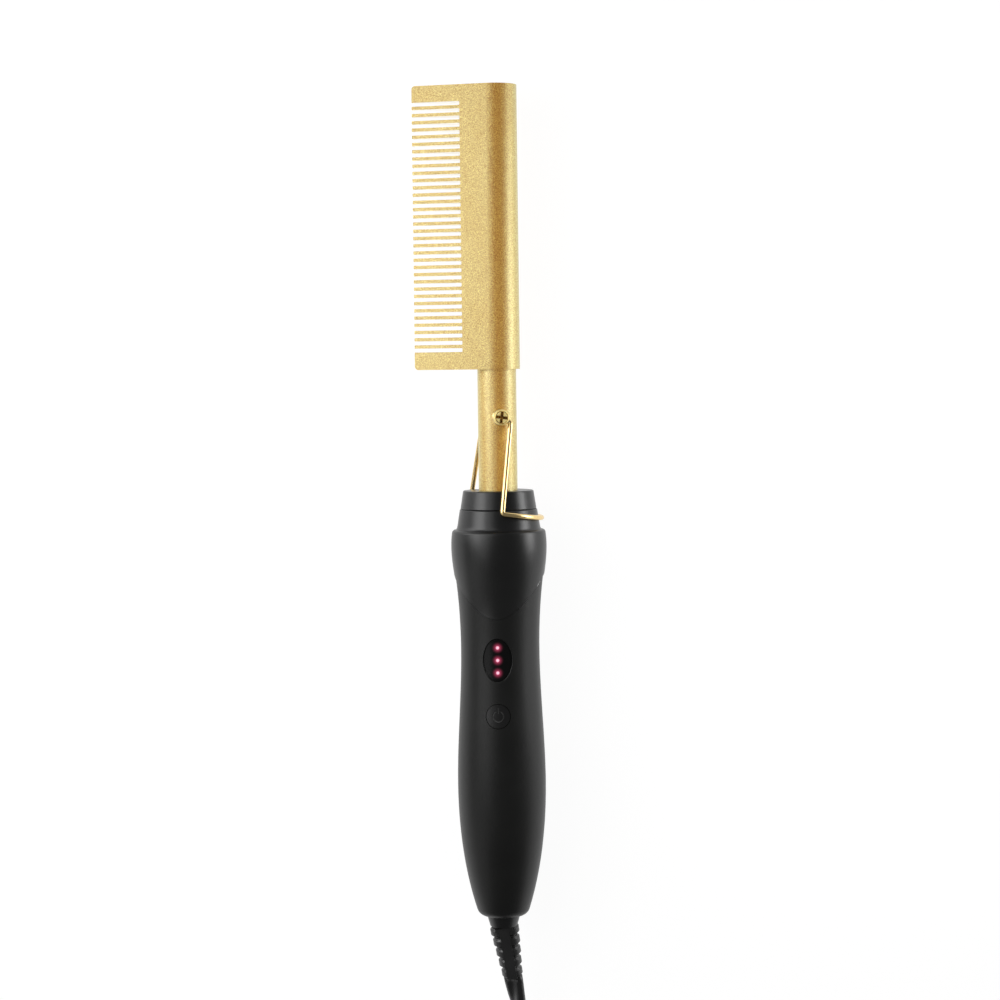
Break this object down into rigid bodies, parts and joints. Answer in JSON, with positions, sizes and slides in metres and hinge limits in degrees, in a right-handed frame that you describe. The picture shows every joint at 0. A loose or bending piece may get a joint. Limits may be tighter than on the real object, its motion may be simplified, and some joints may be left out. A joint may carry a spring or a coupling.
{
  "type": "electric hot comb",
  "caption": "Electric hot comb with a gold metal comb head, black handle with window and power button, swing-out wire stand and swivel cord.",
  "frame": {"origin": "on the handle's axis, in the middle of the grip", "axes": "+Y along the handle towards the comb, -X towards the tips of the teeth, +Z out of the button side"},
  "size_m": [0.055, 0.5752, 0.0346],
  "materials": {
    "gold_aluminium": "sand-blasted satin, gold anodised",
    "gold_steel": "gold plated, satin",
    "black_plastic": "fine matte",
    "black_gloss": "polished",
    "clear_plastic": "clear",
    "lamp": "diffused",
    "heater_ceramic": "fired, matte",
    "plain_aluminium": "extruded",
    "bead_glass": "clear",
    "silicone_lead": "silicone, satin",
    "fuse_metal": "smooth",
    "glass_fibre": "braided",
    "zinc_steel": "zinc plated",
    "fibre_board": "pressed fibre",
    "board_green": "lacquered laminate",
    "chip_black": "moulded",
    "capacitor_red": "dipped",
    "resistor_body": "lacquered",
    "contact_brass": "smooth",
    "white_nylon": "moulded",
    "black_rubber": "satin",
    "plug_nickel": "nickel plated"
  },
  "bodies": {
    "handle": {"comb_head": "gold_aluminium", "heater_element": "heater_ceramic", "heater_clamps": "plain_aluminium", "temperature_sensor": "bead_glass", "heater_leads": "silicone_lead", "thermal_fuse": "fuse_metal", "lead_sleeve": "glass_fibre", "neck_tube": "gold_steel", "tube_flange": "zinc_steel", "heat_washer": "fibre_board", "stand_screws": "gold_steel", "pivot_nuts": "zinc_steel", "nose_base": "black_plastic", "nose_ring": "black_plastic", "heat_guard": "black_plastic", "front_shell": "black_plastic", "rear_shell": "black_plastic", "shell_screws": "zinc_steel", "display_window": "black_gloss", "light_guide": "clear_plastic", "indicator_leds": "lamp", "tact_switch": "chip_black", "circuit_board": "board_green", "board_screws": "zinc_steel", "control_chip": "chip_black", "film_capacitor": "capacitor_red", "dropper_resistor": "resistor_body", "triac": "chip_black", "contact_block": "white_nylon", "contact_brushes": "contact_brass", "supply_leads": "silicone_lead", "power_cord": "black_rubber", "cord_hank": "black_rubber", "cord_tie": "black_plastic", "cord_tail": "black_rubber", "plug_body": "black_rubber", "plug_blades": "plug_nickel"},
    "stand": {"wire_stand": "gold_steel"},
    "button": {"power_button": "black_plastic", "switch_plunger": "chip_black"},
    "swivel": {"swivel_ball": "black_plastic", "slip_rings": "contact_brass", "strain_relief": "black_rubber"}
  },
  "joints": [
    {"name": "stand_hinge", "type": "hinge", "parent": "handle", "child": "stand", "pos_m": [0, 0.08655, 0], "axis": [0.2164, 0, 0.9763], "range_deg": [0, 135]},
    {"name": "button_press", "type": "slide", "parent": "handle", "child": "button", "axis": [0, 0, -1], "range_m": [0, 0.0005], "stiffness_N_per_m": 800},
    {"name": "cord_swivel", "type": "hinge", "parent": "handle", "child": "swivel", "pos_m": [0, -0.0922, 0], "axis": [0, -0.9945, -0.1045], "continuous": true}
  ]
}
